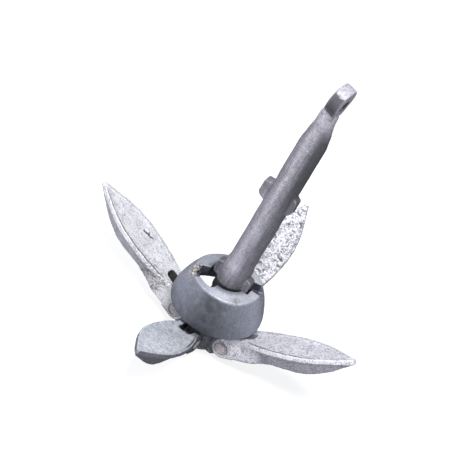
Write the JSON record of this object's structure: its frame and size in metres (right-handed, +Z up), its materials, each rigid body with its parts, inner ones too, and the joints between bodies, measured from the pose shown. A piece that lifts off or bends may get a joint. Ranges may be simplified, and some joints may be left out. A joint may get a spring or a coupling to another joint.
{
  "type": "folding grapnel anchor",
  "caption": "Folding grapnel anchor: round shank with shackle eye, bell-shaped sliding locking collar and leaf-shaped flukes riveted to a crown, hot-dip galvanised.",
  "frame": {"origin": "centre of the crown's flat base", "axes": "+Z up along the shank towards the eye; +X towards the right fluke and along the eye's hole; +Y towards the back fluke"},
  "size_m": [0.2198, 0.2159, 0.2397],
  "materials": {
    "shank_zinc": "hot-dip galvanised, dull mid grey with faint mottling",
    "crown_zinc": "hot-dip galvanised, rough cast",
    "collar_zinc": "hot-dip galvanised, dull grey, brighter crowned rim",
    "fluke_zinc": "hot-dip galvanised, bright rough face, darker back",
    "rivet_zinc": "galvanised steel, upset ends"
  },
  "bodies": {
    "shank": {"shank": "shank_zinc", "crown": "crown_zinc", "rivet_right": "rivet_zinc", "rivet_back": "rivet_zinc", "rivet_left": "rivet_zinc", "rivet_front": "rivet_zinc"},
    "collar": {"collar": "collar_zinc"},
    "fluke_right": {"fluke_right": "fluke_zinc"},
    "fluke_back": {"fluke_back": "fluke_zinc"},
    "fluke_left": {"fluke_left": "fluke_zinc"},
    "fluke_front": {"fluke_front": "fluke_zinc"}
  },
  "joints": [
    {"name": "collar_slide", "type": "slide", "parent": "shank", "child": "collar", "axis": [0, 0, 1], "range_m": [0, 0.095]},
    {"name": "fluke_right_fold", "type": "hinge", "parent": "shank", "child": "fluke_right", "pos_m": [0.02125, 0, 0.0128], "axis": [0, -1, 0], "range_deg": [0, 52]},
    {"name": "fluke_back_fold", "type": "hinge", "parent": "shank", "child": "fluke_back", "pos_m": [-0.00111, 0.02122, 0.0128], "axis": [0.9986, 0.0523, 0], "range_deg": [0, 48.7]},
    {"name": "fluke_left_fold", "type": "hinge", "parent": "shank", "child": "fluke_left", "pos_m": [-0.02125, 0, 0.0128], "axis": [0, 1, 0], "range_deg": [0, 65]},
    {"name": "fluke_front_fold", "type": "hinge", "parent": "shank", "child": "fluke_front", "pos_m": [0, -0.02125, 0.0128], "axis": [-1, 0, 0], "range_deg": [0, 64.5]}
  ],
  "couplings": [
    {"joint": "fluke_right_fold", "follows": "collar_slide", "rad_per_m": 9.5534},
    {"joint": "fluke_back_fold", "follows": "collar_slide", "rad_per_m": 8.9471},
    {"joint": "fluke_left_fold", "follows": "collar_slide", "rad_per_m": 11.942},
    {"joint": "fluke_front_fold", "follows": "collar_slide", "rad_per_m": 11.85}
  ]
}
